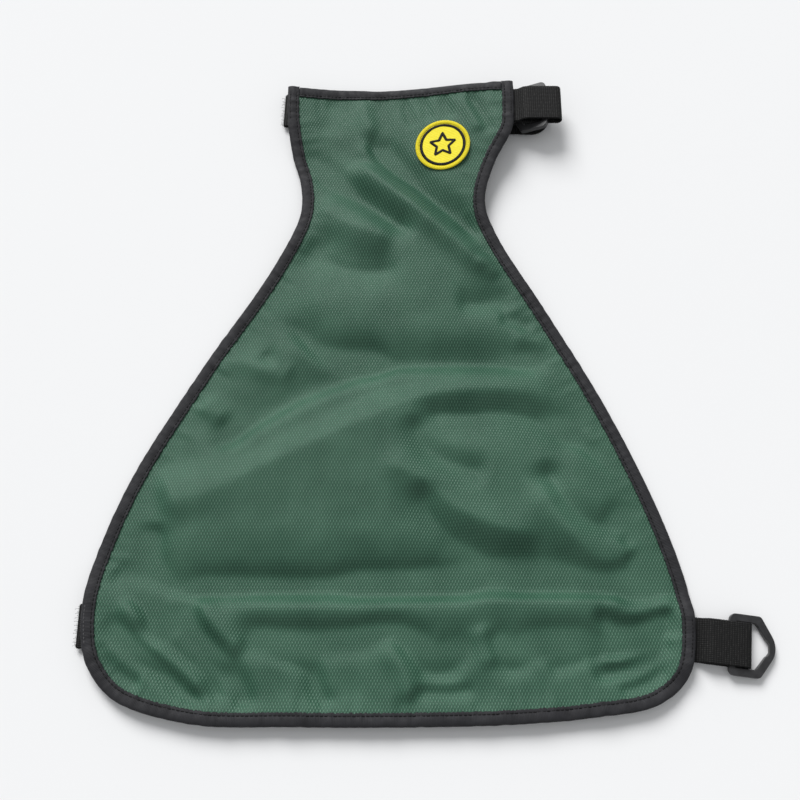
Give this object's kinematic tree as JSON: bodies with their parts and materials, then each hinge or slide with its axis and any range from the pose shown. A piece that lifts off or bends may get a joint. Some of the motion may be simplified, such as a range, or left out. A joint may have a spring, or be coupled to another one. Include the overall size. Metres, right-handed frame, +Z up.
{
  "type": "splash apron",
  "caption": "Flared fabric splash apron with bound edges, folded hook-and-loop straps at neck and waist, webbing loops with plastic strap rings, and a round patch.",
  "frame": {"origin": "middle of the footprint on the table that the apron lies on", "axes": "+X towards the strap rings, +Y towards the neck edge, +Z up, out of the apron's outer face"},
  "size_m": [0.3861, 0.4074, 0.0179],
  "materials": {
    "shell_fabric": "coated diamond dobby weave, satin",
    "lining_fabric": "plain woven lining, matte",
    "binding_tape": "ribbed binding tape, matte",
    "thread": "spun sewing thread",
    "webbing": "ribbed webbing, matte",
    "hook_tape": "hook tape",
    "loop_tape": "brushed loop tape",
    "ring_plastic": "moulded, fine satin texture",
    "patch_twill": "embroidered, satin thread",
    "patch_thread": "embroidered, satin thread"
  },
  "bodies": {
    "root": {"outer_shell": "shell_fabric", "lining": "lining_fabric", "edge_binding": "binding_tape", "neck_binding": "binding_tape", "edge_binding_seam": "thread", "neck_binding_seam": "thread", "neck_strap_root": "webbing", "neck_strap_tack": "thread", "waist_strap_root": "webbing", "waist_strap_tack": "thread", "neck_loop": "webbing", "neck_loop_tack": "thread", "waist_loop": "webbing", "waist_loop_tack": "thread", "patch_base": "patch_twill", "patch_border": "patch_twill", "patch_circle": "patch_thread", "patch_star": "patch_thread"},
    "neck_strap": {"neck_strap": "webbing", "neck_strap_hook_tape": "hook_tape", "neck_strap_loop_tape": "loop_tape"},
    "waist_strap": {"waist_strap": "webbing", "waist_strap_hook_tape": "hook_tape", "waist_strap_loop_tape": "loop_tape"},
    "neck_ring": {"neck_ring": "ring_plastic"},
    "waist_ring": {"waist_ring": "ring_plastic"}
  },
  "joints": [
    {"name": "neck_strap_fold", "type": "hinge", "parent": "root", "child": "neck_strap", "pos_m": [-0.08996, 0.18965, 0.00225], "axis": [0.0349, 0.9994, 0], "range_deg": [0, 180]},
    {"name": "waist_strap_fold", "type": "hinge", "parent": "root", "child": "waist_strap", "pos_m": [-0.19306, -0.14885, 0.00225], "axis": [0, 1, 0], "range_deg": [0, 180]},
    {"name": "neck_ring_swing", "type": "hinge", "parent": "root", "child": "neck_ring", "pos_m": [0.07944, 0.18615, 0.0144], "axis": [0, -1, 0], "range_deg": [0, 290], "deforming": ["neck_strap", "neck_strap_loop_tape"]},
    {"name": "waist_ring_swing", "type": "hinge", "parent": "root", "child": "waist_ring", "pos_m": [0.16869, -0.15879, 0.0034], "axis": [-0.1219, -0.9925, 0], "range_deg": [-130, 140]}
  ]
}
